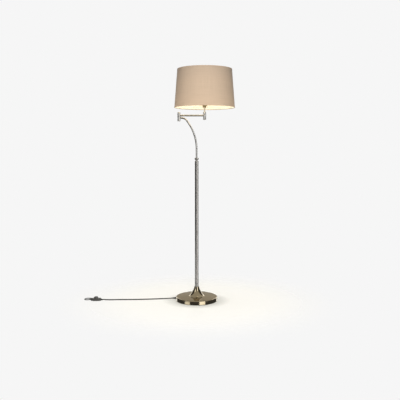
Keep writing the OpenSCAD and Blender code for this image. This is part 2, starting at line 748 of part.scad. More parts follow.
module switch_spring() color(steel) at_switch() {
  rings = 60;
  low = block_z + block_h + spring_wire_r + 0.05;
  high = pedal_low - spring_wire_r - 0.05;
  sweep([for (i = [0:rings]) [spring_r * cos(24 * i), spring_r * sin(24 * i), low + (high - low) * i / rings]],
    spring_wire_r, 6);
}

module switch_block() color(black) at_switch() {
  translate([-10, -7, block_z]) cube([20, 14, block_h]);
  for (x = [-13, 13], y = [-3, 3]) translate([x, y, 0]) rod(block_z, block_z + 4, 1.4);
}

module switch_nozzles() color(black) at_switch() for (side = [0, 1]) mirror([side, 0, 0])
  translate([switch_l / 2, 0, nozzle_z]) rotate([0, 90, 0]) difference() {
    union() {
      translate([0, 0, -nozzle_in]) cylinder(h = nozzle_in, r = cord_r + 2);
      cylinder(h = nozzle_l, r1 = cord_r + 2, r2 = cord_r + 0.6);
    }
    translate([0, 0, -nozzle_in - 1]) cylinder(h = nozzle_in + 1, r = cord_r - 0.5);
  }

// ---- Cord ----

module cord_to_switch() color(grey) sweep(spline(cord_a, 2), cord_r, 8);

module cord_to_plug() color(grey) {
  sweep(spline(cord_b, 1), cord_r, 8);
  sweep(spline(cord_tail, 2), cord_r, 8);
}

module cord_hank() color(grey) translate([0, hank_y, hank_z])
  linear_extrude(hank_h) stadium(hank_run, hank_r);

module hank_tie() color(black) translate([-tie_w / 2, hank_y, hank_z + hank_h / 2]) rotate([90, 0, 90])
  linear_extrude(tie_w) difference() {
    square([2 * (hank_r + tie_gap + tie_t), hank_h + 2 * (tie_gap + tie_t)], center = true);
    square([2 * (hank_r + tie_gap), hank_h + 2 * tie_gap], center = true);
  }

module plug_body() color(black) translate([plug_x, plug_y - plug_w / 2, 0]) cube([plug_l, plug_w, plug_h]);

module plug_blades() color(brass) for (side = [-1, 1])
  translate([plug_x + plug_l, plug_y + side * blade_apart / 2 - blade_t / 2, plug_h / 2 - blade_w / 2])
    cube([blade_l, blade_t, blade_w]);

base_cover();
base_weight();
base_pad();
tie_stud();
tie_nut();
cord_bushing();
cord_clamp();
clamp_screws();
stand_lead();
pole_tube();
pole_foot();
pole_cap();
bow_bush();
neck_washer();
bow_spigot();
bow_tube();
bow_bead();
bow_stop_ring();
bow_screws();
bow_lead();
elbow_lower();
elbow_low_cap();
elbow_washer();
elbow_pin();
elbow_upper();
elbow_top_cap();
elbow_pivot();
arm_tube();
arm_lead();
head_barrel();
head_low_cap();
head_pin();
head_lead();
stem_tube();
stem_collar();
stem_nuts();
harp_saddle();
harp();
harp_ferrules();
holder_shell();
holder_insert();
screw_shell();
bulb_glass();
bulb_cap();
finial();
shade_fabric();
shade_lining();
shade_frame();
switch_lower();
switch_upper();
switch_pedal();
switch_spring();
switch_block();
switch_nozzles();
cord_to_switch();
cord_to_plug();
cord_hank();
hank_tie();
plug_body();
plug_blades();
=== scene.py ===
# %% [markdown]
# # A swing-arm reading lamp, dressed in Blender
# The lamp's parts were designed as exact solids and packed as a fixed frame. This lesson loads
# that frame, gives every part a procedural finish, and remakes the parts that need a finer
# surface: the bowed tube, the cords, the cloth shade, the foot switch and the plug.
# Everything is in metres, Z up, with the pole on the Z axis and the floor at zero.

# %% Load the frame and keep its box
import math

import bmesh
import bpy
import numpy as np
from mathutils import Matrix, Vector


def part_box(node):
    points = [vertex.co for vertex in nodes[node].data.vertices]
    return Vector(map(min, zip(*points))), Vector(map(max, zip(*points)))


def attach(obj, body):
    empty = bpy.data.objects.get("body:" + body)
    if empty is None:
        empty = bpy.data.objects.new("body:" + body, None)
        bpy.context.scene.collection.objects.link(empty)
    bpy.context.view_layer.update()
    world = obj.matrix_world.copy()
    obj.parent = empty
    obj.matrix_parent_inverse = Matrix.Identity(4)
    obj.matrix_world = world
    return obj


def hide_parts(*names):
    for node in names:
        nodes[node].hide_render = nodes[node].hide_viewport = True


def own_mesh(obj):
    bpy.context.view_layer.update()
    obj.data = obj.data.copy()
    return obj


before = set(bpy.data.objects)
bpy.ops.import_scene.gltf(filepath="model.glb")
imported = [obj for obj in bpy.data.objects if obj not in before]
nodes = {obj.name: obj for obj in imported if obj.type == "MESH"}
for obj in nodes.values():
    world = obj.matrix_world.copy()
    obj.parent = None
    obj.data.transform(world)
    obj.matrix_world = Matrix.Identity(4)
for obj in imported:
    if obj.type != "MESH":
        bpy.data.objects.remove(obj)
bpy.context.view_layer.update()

MM = 0.001

# %% [markdown]
# ## The camera
# A tall, slim object is best seen through a moderately long lens from across the room, a
# little below the height of its arm, tipped down just enough to show the top of the base.

# %% Place the camera
CAMERA_AT = (0.0224, -3.8, 1.0)
CAMERA_PITCH = 4.757
CAMERA_LENS = 51.23

camera_data = bpy.data.cameras.new("camera")
camera_data.lens = CAMERA_LENS
camera_data.sensor_width = 36
camera = bpy.data.objects.new("camera", camera_data)
camera.location = CAMERA_AT
camera.rotation_euler = (math.radians(90 - CAMERA_PITCH), 0, 0)
bpy.context.scene.collection.objects.link(camera)
bpy.context.scene.camera = camera
print("camera", CAMERA_AT, "lens", CAMERA_LENS)

# %% [markdown]
# ## A few tools for surfaces
# Every new piece is a grid of points: a profile carried round an axis or along a path. A grid
# can be worked out with numpy as one array, so no loop ever visits a single vertex. The end
# rows of a closed piece shrink to one point, and merging those points closes the pole.


# %% Turn a grid of points into a mesh object
def skin(name, grid, body, around=True, loop=False, uv=None):
    """A mesh on a (rows, columns, 3) grid: point (i, j) joins (i+1, j), (i+1, j+1) and (i, j+1).
    around closes the columns into a ring, loop closes the rows; uv is a (rows+1, columns+1, 2)
    grid of cloth coordinates in metres."""
    rows, cols = grid.shape[:2]
    i, j = np.meshgrid(np.arange(rows if loop else rows - 1),
                       np.arange(cols if around else cols - 1), indexing="ij")
    i, j = i.ravel(), j.ravel()
    i2, j2 = (i + 1) % rows, (j + 1) % cols
    faces = np.stack([i * cols + j, i * cols + j2, i2 * cols + j2, i2 * cols + j], 1)
    mesh = bpy.data.meshes.new(name)
    mesh.from_pydata(grid.reshape(-1, 3).tolist(), [], faces.tolist())
    if uv is not None:
        layer = mesh.uv_layers.new(name="cloth")
        corners = np.stack([uv[i, j], uv[i, j + 1], uv[i + 1, j + 1], uv[i + 1, j]], 1)
        layer.data.foreach_set("uv", corners.astype(np.float32).ravel())
    shape = bmesh.new()
    shape.from_mesh(mesh)
    bmesh.ops.remove_doubles(shape, verts=shape.verts, dist=1e-7)
    bmesh.ops.recalc_face_normals(shape, faces=shape.faces)
    shape.to_mesh(mesh)
    shape.free()
    mesh.shade_smooth()
    piece = bpy.data.objects.new(name, mesh)
    bpy.context.scene.collection.objects.link(piece)
    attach(piece, body)
    print(name, "faces", len(mesh.polygons))
    return piece


# %% Carry a profile round the Z axis
def lathe(profile, sides, centre=(0, 0)):
    """Each profile point (r, z) becomes a ring (cx + r cos t, cy + r sin t, z), t a full turn."""
    t = np.linspace(0, 2 * np.pi, sides, endpoint=False)
    r, z = profile[:, :1], profile[:, 1:]
    return np.stack([centre[0] + r * np.cos(t), centre[1] + r * np.sin(t), z + 0 * t], -1)


# %% Arcs and rounded outlines
def arc(x, z, r, start, end, steps=8):
    """Points (x + r cos a, z + r sin a) with a from start to end, in degrees."""
    a = np.radians(np.linspace(start, end, steps + 1))
    return np.stack([x + r * np.cos(a), z + r * np.sin(a)], 1)


# %% Carry a circle along a path
def sweep(path, radius, sides, upright):
    """At each path point the tangent is the difference of its neighbours; two vectors across it
    span the circle p + r (cos t s + sin t u). The end rows shrink to the path's own ends."""
    path = np.asarray(path, float)
    tangent = np.gradient(path, axis=0)
    tangent /= np.linalg.norm(tangent, axis=1, keepdims=True)
    side = np.cross(upright, tangent)
    side /= np.linalg.norm(side, axis=1, keepdims=True)
    up = np.cross(tangent, side)
    t = np.linspace(0, 2 * np.pi, sides, endpoint=False)[None, :, None]
    r = np.broadcast_to(radius, len(path))[:, None, None]
    rings = path[:, None] + r * (np.cos(t) * side[:, None] + np.sin(t) * up[:, None])
    ends = [np.repeat(path[k][None, None], sides, 1) for k in (0, -1)]
    return np.concatenate([ends[0], rings, ends[1]])


# %% One smooth curve through a few points
def spline(points, steps):
    """Between points p1 and p2, with neighbours p0 and p3, a cubic in t:
    half of 2 p1 + (p2 - p0) t + (2 p0 - 5 p1 + 4 p2 - p3) t^2 + (3 p1 - p0 - 3 p2 + p3) t^3."""
    p = np.asarray(points, float)
    p = np.concatenate([2 * p[:1] - p[1:2], p, 2 * p[-1:] - p[-2:-1]])
    t = np.linspace(0, 1, steps, endpoint=False)[None, :, None]
    a, b, c, d = (p[k:len(p) - 3 + k, None] for k in range(4))
    curve = 0.5 * (2 * b + (c - a) * t + (2 * a - 5 * b + 4 * c - d) * t * t
                   + (3 * b - a - 3 * c + d) * t ** 3)
    return np.concatenate([curve.reshape(-1, 3), p[-2:-1]])


def length_of(path):
    """The sum of the distances between a path's neighbouring points."""
    return float(np.linalg.norm(np.diff(path, axis=0), axis=1).sum())


# %% [markdown]
# ## The mains cord
# A cord is a fixed length of stiff rubber-like plastic, so its route is settled before anything
# is drawn. It leaves the base through a strain relief, drops to the floor, and runs in one easy
# curve to the foot switch. A second length loops back and runs behind the first one to the
# base, where the spare length lies in a tied hank with the plug beside it.

# %% The route from the base to the switch
CORD_R = 3 * MM
CORD_COLS = 18
FLOOR_Z = 3.1
BASE_R, RELIEF_L, EXIT_Z = 140, 23, 9
exit_way = np.array([-7, 1, 0]) / math.sqrt(50)
relief_tip = exit_way * (BASE_R + RELIEF_L) + [0, 0, EXIT_Z]
switch_right, switch_left = [-635, -6, 7], [-729, -6, 7]
to_switch = [relief_tip, [-182, 26, 7.4], [-205, 28, 5], [-235, 27, 3.3], [-270, 22, FLOOR_Z],
             [-310, 17, FLOOR_Z], [-350, 12, FLOOR_Z], [-390, 8, FLOOR_Z], [-430, 5, FLOOR_Z],
             [-470, 4, FLOOR_Z], [-510, 3, FLOOR_Z], [-550, 1, FLOOR_Z], [-590, -3, 3.5],
             [-615, -6, 5.4], switch_right]
switch_path = spline(to_switch, 6) * MM
print("cord to the switch", round(length_of(switch_path), 3), "m")

# %% The route from the switch back to the base
to_base = [switch_left, [-740, -6, 5], [-752, -1, 3.5], [-762, 9, FLOOR_Z], [-765, 21, FLOOR_Z],
           [-760, 34, FLOOR_Z], [-748, 42, FLOOR_Z], [-733, 43, FLOOR_Z], [-715, 38, FLOOR_Z],
           [-690, 27, FLOOR_Z], [-660, 18, FLOOR_Z], [-630, 10, FLOOR_Z], [-600, 5.4, FLOOR_Z],
           [-570, 6.4, FLOOR_Z], [-530, 9, FLOOR_Z], [-490, 10.3, FLOOR_Z], [-450, 11.2, FLOOR_Z],
           [-410, 13.2, FLOOR_Z], [-370, 16.6, FLOOR_Z], [-330, 21.2, FLOOR_Z],
           [-290, 26.2, FLOOR_Z], [-255, 31.2, FLOOR_Z], [-225, 35, FLOOR_Z], [-195, 39, FLOOR_Z],
           [-165, 51, FLOOR_Z], [-142, 68, FLOOR_Z], [-118, 92, FLOOR_Z], [-95, 114, FLOOR_Z],
           [-72, 130, 3.5], [-50, 141, 4]]
print("the way back passes", len(to_base), "points")

# %% [markdown]
# A hank is made by folding the cord to and fro: two turns lie side by side on the floor, the
# cord climbs on the last inner bend, and the third turn lies on the first two. No bend is
# tighter than three diameters, which is what a thick cord allows when it is folded by hand.

# %% The folds of the hank
HANK_Y, HALF_RUN = 170, 45
LOW_Z, HIGH_Z = 4.2, 10.2


def fold(side, y_from, y_to, z_from, z_to, steps=12):
    """Half a turn about (side * half run, middle of the two y): x moves out by r sin a while y
    goes from one run to the other as the cosine does; z follows a smooth step."""
    a = np.linspace(0, np.pi, steps + 1)[1:-1]
    r, mid = abs(y_to - y_from) / 2, (y_from + y_to) / 2
    y = mid + (y_from - mid) * np.cos(a)
    s = a / np.pi
    z = z_from + (z_to - z_from) * s * s * (3 - 2 * s)
    return np.stack([side * (HALF_RUN + r * np.sin(a)), y, z], 1)


def run(x_from, x_to, y, z, z_to=None, steps=6):
    """A straight run of the hank along X."""
    s = np.linspace(0, 1, steps)
    return np.stack([x_from + (x_to - x_from) * s, 0 * s + y, z + ((z_to or z) - z) * s], 1)


# %% Lay the three turns
OUTER_BEND, INNER_BEND = 24, 18
left, right = -HALF_RUN, HALF_RUN
front, back = HANK_Y - OUTER_BEND, HANK_Y + OUTER_BEND
front_in, back_in = HANK_Y - INNER_BEND, HANK_Y + INNER_BEND
hank = np.concatenate([
    run(-30, right, front, LOW_Z), fold(1, front, back, LOW_Z, LOW_Z),
    run(right, left, back, LOW_Z), fold(-1, back, front_in, LOW_Z, LOW_Z),
    run(left, right, front_in, LOW_Z), fold(1, front_in, back_in, LOW_Z, LOW_Z),
    run(right, 8, back_in, LOW_Z), run(0, left, back_in, 4.5, 8.6),
    fold(-1, back_in, front_in, 8.9, HIGH_Z), run(left, right, front_in, HIGH_Z),
    fold(1, front_in, back, HIGH_Z, HIGH_Z), run(right, left, back, HIGH_Z),
    fold(-1, back, front, HIGH_Z, HIGH_Z), run(left, 28, front, HIGH_Z)])
tail = [[40, 146, 10], [52, 141, 9], [62, 136, 8], [72, 135, 7.5]]
plug_path = np.concatenate([spline(to_base, 5)[:-1], spline(np.concatenate([
    [to_base[-1]], hank, tail]), 2)]) * MM
print("cord to the plug", round(length_of(plug_path), 3), "m")

# %% Draw both cords
cord_to_switch = skin("mains_cord_switch", sweep(switch_path, CORD_R, CORD_COLS, (0, 0, 1)),
                      "stand")
cord_to_plug = skin("mains_cord_plug", sweep(plug_path, CORD_R, CORD_COLS, (0, 0, 1)),
                    "stand")
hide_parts("cord_to_switch")
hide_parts("cord_to_plug", "cord_hank")

# %% [markdown]
# ## The pieces on the cords
# The strain relief is a soft ribbed sleeve: its ribs let it bend without creasing the cord. The
# plug is one moulding with a grip, and a strap of woven tape holds the hank together.

# %% The ribbed strain relief
RIBS, RIB_PITCH, RIB_TAPER, RIB_DEPTH = 7, 2.75, 0.19, 0.75
RIB_FIRST_R, RIB_START = 5.2, 3.4
ribs = [[0, BASE_R - 5], [5.8, BASE_R - 5], [5.8, BASE_R - 3], [4.3, BASE_R - 2.6],
        [4.3, BASE_R + 0.1], [6, BASE_R + 0.3], [6, BASE_R + 2.6], [5.2, BASE_R + 3]]
for k in range(RIBS):
    at, r = BASE_R + RIB_START + RIB_PITCH * k, RIB_FIRST_R - RIB_TAPER * k
    ribs += [[r - RIB_DEPTH, at], [r - RIB_DEPTH, at + 0.6], [r, at + 0.9], [r, at + 2.1]]
relief_end = BASE_R + RELIEF_L
ribs += [[3.75, relief_end - 0.3], [3.1, relief_end], [0, relief_end]]
ribs = np.array(ribs, float) * MM


def along(grid, way, height):
    """Lays a lathed grid down: its Z becomes the level direction way, its X goes upwards."""
    x, y, z = grid[..., 0], grid[..., 1], grid[..., 2]
    return np.stack([way[0] * z + way[1] * y, way[1] * z - way[0] * y, height + x], -1)


relief = skin("strain_relief", along(lathe(ribs, 32), exit_way, EXIT_Z * MM), "stand")
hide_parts("cord_bushing")

# %% The plug's moulding
PLUG_X, PLUG_Y, PLUG_H = 68, 135, 13


def rounded_rows(stations, cols, power=4):
    """Each station (x, half width, half height, mid z) is an outline |y/w|^p + |z/h|^p = 1."""
    t = np.linspace(0, 2 * np.pi, cols, endpoint=False)[None]
    x, w, h, z = (np.array(stations, float)[:, k:k + 1] for k in range(4))
    c, s = np.cos(t), np.sin(t)
    y = w * np.sign(c) * np.abs(c) ** (2 / power)
    up = h * np.sign(s) * np.abs(s) ** (2 / power)
    return np.stack([x + 0 * t, y, z + up], -1)


mid_z = PLUG_H / 2
stations = [[0, 0, 0, mid_z + 0.5], [0, 3.6, 3.6, mid_z + 0.5], [0.6, 4.2, 4, mid_z + 0.4]]
GRIP_RIBS, GRIP_PITCH, WIDER, TALLER = 4, 2.6, 0.7, 0.3
grip = [(1.5, 4.3, 4.1), (2.1, 5.2, 4.9), (3.4, 5.4, 5), (3.8, 4.5, 4.3)]
for k in range(GRIP_RIBS):
    stations += [[x + GRIP_PITCH * k, w + WIDER * k, h + TALLER * k, mid_z] for x, w, h in grip]
stations += [[13.5, 7.2, 5.6, mid_z], [16, 8.2, 6.2, mid_z], [18, 8.5, 6.5, mid_z],
             [24.6, 8.5, 6.5, mid_z], [25.6, 8.1, 6.1, mid_z], [26, 7.4, 5.4, mid_z],
             [26, 0, 0, mid_z]]
plug = skin("plug_moulding", (rounded_rows(stations, 48) + [PLUG_X, PLUG_Y, 0]) * MM,
            "stand")
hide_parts("plug_body")

# %% The strap round the hank
TIE_HALF, TIE_T, TIE_W = 27.05, 1.05, 10
TIE_LOW, TIE_HIGH, TIE_BEND, TIE_STEP, TIE_EDGE = 0.1, 14.3, 4, 1, 0.2


def strap_rows(half_y, low, high, corner, steps=8):
    """A rounded rectangle in the (y, z) plane, corner by corner."""
    spots = [(half_y - corner, high - corner, 0), (corner - half_y, high - corner, 90),
             (corner - half_y, low + corner, 180), (half_y - corner, low + corner, 270)]
    return np.concatenate([arc(y, z, corner, a, a + 90, steps) for y, z, a in spots])


outside = strap_rows(TIE_HALF + TIE_T, TIE_LOW, TIE_HIGH, TIE_BEND)
inside = strap_rows(TIE_HALF, TIE_LOW + TIE_STEP, TIE_HIGH - TIE_STEP, TIE_BEND - TIE_STEP)
middle = (inside + outside) / 2
loops = [(inside, -1, TIE_EDGE), (middle, -1, 0), (outside, -1, TIE_EDGE),
         (outside, 1, TIE_EDGE), (middle, 1, 0), (inside, 1, TIE_EDGE)]
strap = np.stack([np.column_stack([0 * ring[:, 0] + way * (TIE_W / 2 - off),
                                   ring[:, 0] + HANK_Y, ring[:, 1]]) for ring, way, off in loops])
tie = skin("hank_strap", strap * MM, "stand", loop=True)
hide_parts("hank_tie")

# %% [markdown]
# ## Finishes
# A real finish is never one flat colour. Plated metal is brushed in fine rings and tarnishes a
# little in cloudy patches; moulded plastic has a fine grain; cast iron is rough. Each finish
# below is a small node tree on Object coordinates, so it stays in place as the lamp moves.


# %% Start a material and add nodes
def start(name):
    """A new material, its node tree and its shader."""
    m = bpy.data.materials.new(name)
    m.use_nodes = True
    shader = m.node_tree.nodes["Principled BSDF"]
    return m, m.node_tree, shader


def node(tree, kind, **values):
    """A new node of one kind; each value goes to the input or the setting of that name."""
    n = tree.nodes.new(kind)
    for key, value in values.items():
        if key in n.inputs:
            n.inputs[key].default_value = value
        else:
            setattr(n, key, value)
    return n


# %% Mix colours and rescale numbers
def ramp(tree, source, low, high, from_min=0.3, from_max=0.7):
    """A smooth mix from one colour to another as source goes from from_min to from_max."""
    n = tree.nodes.new("ShaderNodeValToRGB")
    n.color_ramp.elements[0].position, n.color_ramp.elements[1].position = from_min, from_max
    n.color_ramp.elements[0].color, n.color_ramp.elements[1].color = (*low, 1), (*high, 1)
    tree.links.new(source, n.inputs["Fac"])
    return n.outputs["Color"]


def span(tree, source, low, high, from_min=0.0, from_max=1.0):
    """source, rescaled so that from_min..from_max becomes low..high."""
    n = tree.nodes.new("ShaderNodeMapRange")
    for key, value in zip(("From Min", "From Max", "To Min", "To Max"),
                          (from_min, from_max, low, high)):
        n.inputs[key].default_value = value
    tree.links.new(source, n.inputs["Value"])
    return n.outputs["Result"]


# %% Place a pattern, and turn it into noise or bump
def place(tree, scale=(1, 1, 1), kind="Object"):
    """Object coordinates, stretched by scale."""
    where = tree.nodes.new("ShaderNodeTexCoord")
    turn = tree.nodes.new("ShaderNodeMapping")
    turn.inputs["Scale"].default_value = scale
    tree.links.new(where.outputs[kind], turn.inputs["Vector"])
    return turn.outputs["Vector"]


def noise(tree, vector, scale, detail=3.0, roughness=0.5):
    """Cloudy noise, from 0 to 1; detail adds finer clouds and roughness makes them stronger."""
    n = node(tree, "ShaderNodeTexNoise", Scale=scale, Detail=detail, Roughness=roughness)
    tree.links.new(vector, n.inputs["Vector"])
    return n.outputs["Fac"]


def bump(tree, shader, height, strength, distance):
    """The shader's normal leans as a surface of this height would; distance is in metres."""
    n = node(tree, "ShaderNodeBump", Strength=strength, Distance=distance)
    tree.links.new(height, n.inputs["Height"])
    tree.links.new(n.outputs["Normal"], shader.inputs["Normal"])


# %% [markdown]
# ### Plated metal
# The lamp is plated steel with a satin, slightly antique colour. Lathe work leaves rings, so the
# brushing on the base and pole follows the distance from the axis and the height; on the
# small tubes the grain is too fine to have a direction. Tarnish is a slow cloudy change.


# %% Plated metals
GRAIN, GRAIN_DEPTH = 900.0, 0.0002


def plated(name, dark, light, rough, rings=False, relief_share=0.03):
    """Metal whose colour drifts between two tones and whose roughness has a brushed grain."""
    m, tree, shader = start(name)
    shader.inputs["Metallic"].default_value = 1.0
    vector = place(tree)
    cloud = noise(tree, vector, 14.0, 4.0, 0.6)
    tree.links.new(ramp(tree, cloud, dark, light), shader.inputs["Base Color"])
    if rings:
        split = tree.nodes.new("ShaderNodeSeparateXYZ")
        tree.links.new(vector, split.inputs["Vector"])
        flat = tree.nodes.new("ShaderNodeCombineXYZ")
        tree.links.new(split.outputs["X"], flat.inputs["X"])
        tree.links.new(split.outputs["Y"], flat.inputs["Y"])
        reach = node(tree, "ShaderNodeVectorMath", operation="LENGTH")
        tree.links.new(flat.outputs["Vector"], reach.inputs[0])
        ring = tree.nodes.new("ShaderNodeCombineXYZ")
        tree.links.new(reach.outputs["Value"], ring.inputs["X"])
        tree.links.new(split.outputs["Z"], ring.inputs["Y"])
        fine = noise(tree, ring.outputs["Vector"], GRAIN, 2.0)
    else:
        fine = noise(tree, vector, GRAIN, 2.0)
    tree.links.new(span(tree, fine, *rough), shader.inputs["Roughness"])
    bump(tree, shader, fine, relief_share, GRAIN_DEPTH)
    return m


# %% Rough and moulded surfaces
def cast(name, colour_low, colour_high, metallic, rough, scale, depth):
    """A rough or moulded surface: two close tones, one roughness range and a fine bump."""
    m, tree, shader = start(name)
    shader.inputs["Metallic"].default_value = metallic
    vector = place(tree)
    grain = noise(tree, vector, scale, 4.0, 0.6)
    broad = noise(tree, vector, 18.0, 2.0)
    tree.links.new(ramp(tree, broad, colour_low, colour_high), shader.inputs["Base Color"])
    tree.links.new(span(tree, grain, *rough), shader.inputs["Roughness"])
    bump(tree, shader, grain, 0.35, depth)
    return m


# %% [markdown]
# All the lamp's metal is one satin plated finish. The base has its own tone and is the glossiest;
# the pole's greyer tone and the palest tone on the thin tubes and knuckles are painted light,
# standing in for how the light falls on them. The plastics differ mostly in how dark they are.

# %% Make the lamp's finishes
satin = plated("satin_bronze", (0.37, 0.31, 0.205), (0.46, 0.39, 0.27), (0.10, 0.18), rings=True,
               relief_share=0.05)
# Painted light: the pole's greyer tone and the tubes' paler tone are copies of the base's finish,
# tinted for how the light falls on them.
pole_metal = plated("pole_satin_bronze_painted_light", (0.47, 0.45, 0.42), (0.55, 0.53, 0.50), (0.20, 0.27),
                    rings=True, relief_share=0.01)
bright = plated("tube_satin_bronze_painted_light", (0.62, 0.605, 0.575), (0.72, 0.705, 0.67), (0.22, 0.29),
                relief_share=0.01)
brass = plated("brass", (0.55, 0.40, 0.17), (0.68, 0.51, 0.24), (0.25, 0.4))
steel = plated("zinc_plate", (0.50, 0.50, 0.48), (0.62, 0.62, 0.60), (0.3, 0.45))
iron = cast("painted_iron", (0.012, 0.012, 0.012), (0.03, 0.028, 0.026), 0.0, (0.5, 0.8),
            260.0, 0.0008)
black = cast("black_plastic", (0.012, 0.012, 0.012), (0.024, 0.023, 0.022), 0.0, (0.38, 0.55),
             1400.0, 0.0001)
vinyl = cast("cord_vinyl", (0.036, 0.034, 0.031), (0.052, 0.049, 0.044), 0.0, (0.34, 0.5),
             1100.0, 0.0001)
switch_grey = cast("switch_plastic", (0.07, 0.067, 0.062), (0.095, 0.092, 0.086), 0.0,
                   (0.32, 0.5), 1600.0, 0.0001)
enamel = cast("white_enamel", (0.70, 0.69, 0.65), (0.78, 0.77, 0.73), 0.0, (0.22, 0.34),
              300.0, 0.0001)
print("finishes:", len(bpy.data.materials))

# %% [markdown]
# ### Felt
# The pad under the base is pressed wool: short fibres in every direction, no shine, and a
# faint pale fuzz where light skims it.

# %% Felt
felt, tree, shader = start("felt")
shader.inputs["Roughness"].default_value = 0.95
shader.inputs["Sheen Weight"].default_value = 0.35
shader.inputs["Sheen Roughness"].default_value = 0.6
fibres = noise(tree, place(tree, (1, 1, 0.4)), 850.0, 6.0, 0.75)
tree.links.new(ramp(tree, fibres, (0.008, 0.008, 0.008), (0.05, 0.048, 0.045)),
               shader.inputs["Base Color"])
bump(tree, shader, fibres, 0.6, 0.0006)
print(felt.name, "with", len(tree.nodes), "nodes")

# %% [markdown]
# ### The lit parts
# The lamp is switched on. The frosted bulb is the brightest thing. The shade's smooth white lining
# carries painted light, a glow brightest in its lower part near the bulb, and the cloth outside
# carries a little painted glow, standing in for light coming through it. A glow that fades with
# height is enough: it is a colour ramp on the Z of Object coordinates.


# %% A glow that depends on height
def glow_by_height(tree, shader, heights, colours, strength):
    """The emission colour follows the Z coordinate through a ramp between two heights."""
    split = tree.nodes.new("ShaderNodeSeparateXYZ")
    tree.links.new(place(tree), split.inputs["Vector"])
    level = span(tree, split.outputs["Z"], 0.0, 1.0, *heights)
    n = tree.nodes.new("ShaderNodeValToRGB")
    n.color_ramp.interpolation = "EASE"
    for end, colour in zip(n.color_ramp.elements, (colours[0], colours[-1])):
        end.color = (*colour, 1)
    for k, colour in enumerate(colours[1:-1], 1):
        stop = n.color_ramp.elements.new(k / (len(colours) - 1))
        stop.color = (*colour, 1)
    tree.links.new(level, n.inputs["Fac"])
    tree.links.new(n.outputs["Color"], shader.inputs["Emission Color"])
    shader.inputs["Emission Strength"].default_value = strength


# %% The bulb's frosted glass
frosted, tree, shader = start("frosted_glass")
shader.inputs["Roughness"].default_value = 0.4
frost = noise(tree, place(tree), 60.0, 3.0)
tree.links.new(ramp(tree, frost, (0.86, 0.84, 0.78), (0.95, 0.93, 0.88)),
               shader.inputs["Base Color"])
BULB_GLOW_FROM, BULB_GLOW_TO, BULB_STRENGTH = 1.34, 1.44, 5.0
glow_by_height(tree, shader, (BULB_GLOW_FROM, BULB_GLOW_TO),
               [(0.6, 0.42, 0.25), (1, 0.86, 0.62), (1, 0.9, 0.7)], BULB_STRENGTH)
print("the bulb glows from", BULB_GLOW_FROM, "to", BULB_GLOW_TO, "m")

# %% The shade's lining
shade_low, shade_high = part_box("shade_fabric")
lining, tree, shader = start("styrene_lining")
shader.inputs["Roughness"].default_value = 0.55
shader.inputs["Specular IOR Level"].default_value = 0.3
mottle = noise(tree, place(tree), 35.0, 3.0)
tree.links.new(ramp(tree, mottle, (0.80, 0.76, 0.68), (0.86, 0.82, 0.75)),
               shader.inputs["Base Color"])
# Painted light: the lining's glow stands in for the bulb's light falling on it, brightest in its
# lower part and fading towards the top.
glow_by_height(tree, shader, (shade_low.z, shade_high.z),
               [(1, 0.85, 0.60), (1, 0.85, 0.60), (0.85, 0.71, 0.50), (0.6, 0.48, 0.33)], 0.66)
print("shade from", round(shade_low.z, 3), "to", round(shade_high.z, 3))

# %% [markdown]
# ## The shade's cloth
# The shade is a strip of linen laminated to a stiff liner, rolled into a cone and glued along
# one upright seam at the back. Its edges are bound with narrow folded strips of the same
# cloth. The strip was flat before it was rolled, so its size is known: the mean girth by the
# height along the slope. The weave follows a UV map measured in metres along and up the cloth.

# %% The cone and its hems
HEAD_X = (shade_low.x + shade_high.x) / 2
LOW_R, TOP_R = 0.2, 0.18
CLOTH_T, HEM_W, HEM_T, HEM_FADE = 0.0012, 0.009, 0.0004, 0.0008
SEAM_T, SEAM_HALF, SEAM_FADE = 0.0005, 0.03, 0.008
WAVE, EDGE_ROUND, LINING_LAP = 0.00012, 0.0004, 0.0001
SHADE_COLS = 288


def cone_radius(z):
    """The outer radius falls evenly from the lower edge to the upper one."""
    return LOW_R + (TOP_R - LOW_R) * (z - shade_low.z) / (shade_high.z - shade_low.z)


def hem_swell(z):
    """Within a hem's width of either edge the cloth is one folded layer thicker."""
    near = np.minimum(z - shade_low.z, shade_high.z - z)
    return HEM_T * np.clip((HEM_W - near) / HEM_FADE, 0, 1)


# %% [markdown]
# The rings of points stand closer together at the hems, where the surface turns. Going up the
# outside and down the inside closes the cloth into one thin solid. The seam is one layer
# thicker, and a very slight wave keeps the cloth from being a perfect cone.

# %% The rings of the cloth
edge_steps = np.array([0, 0.0004, 0.002, 0.005, 0.0078, 0.0083, 0.009, 0.0095])
heights = np.concatenate([shade_low.z + edge_steps,
                          np.linspace(shade_low.z + 0.02, shade_high.z - 0.02, 22),
                          (shade_high.z - edge_steps)[::-1]])
t = np.linspace(0, 2 * np.pi, SHADE_COLS, endpoint=False) + np.pi / 2
seam_gap = np.minimum(t - np.pi / 2, 2 * np.pi + np.pi / 2 - t)
seam = SEAM_T * np.clip((SEAM_HALF - seam_gap) / SEAM_FADE, 0, 1)[None]
weft = WAVE * (np.sin(7 * t) + 0.7 * np.sin(13 * t + 1.3))[None]
z_out = np.clip(heights, shade_low.z, shade_high.z)[:, None]
at_edge = sum(np.abs(z_out - z) < 1e-6 for z in (shade_low.z, shade_high.z))
swell = hem_swell(z_out)
r_out = cone_radius(z_out) + swell + seam + weft * (swell == 0) - EDGE_ROUND * at_edge
r_in = cone_radius(z_out[::-1]) - CLOTH_T + LINING_LAP
print("rings on each side of the cloth", len(heights))

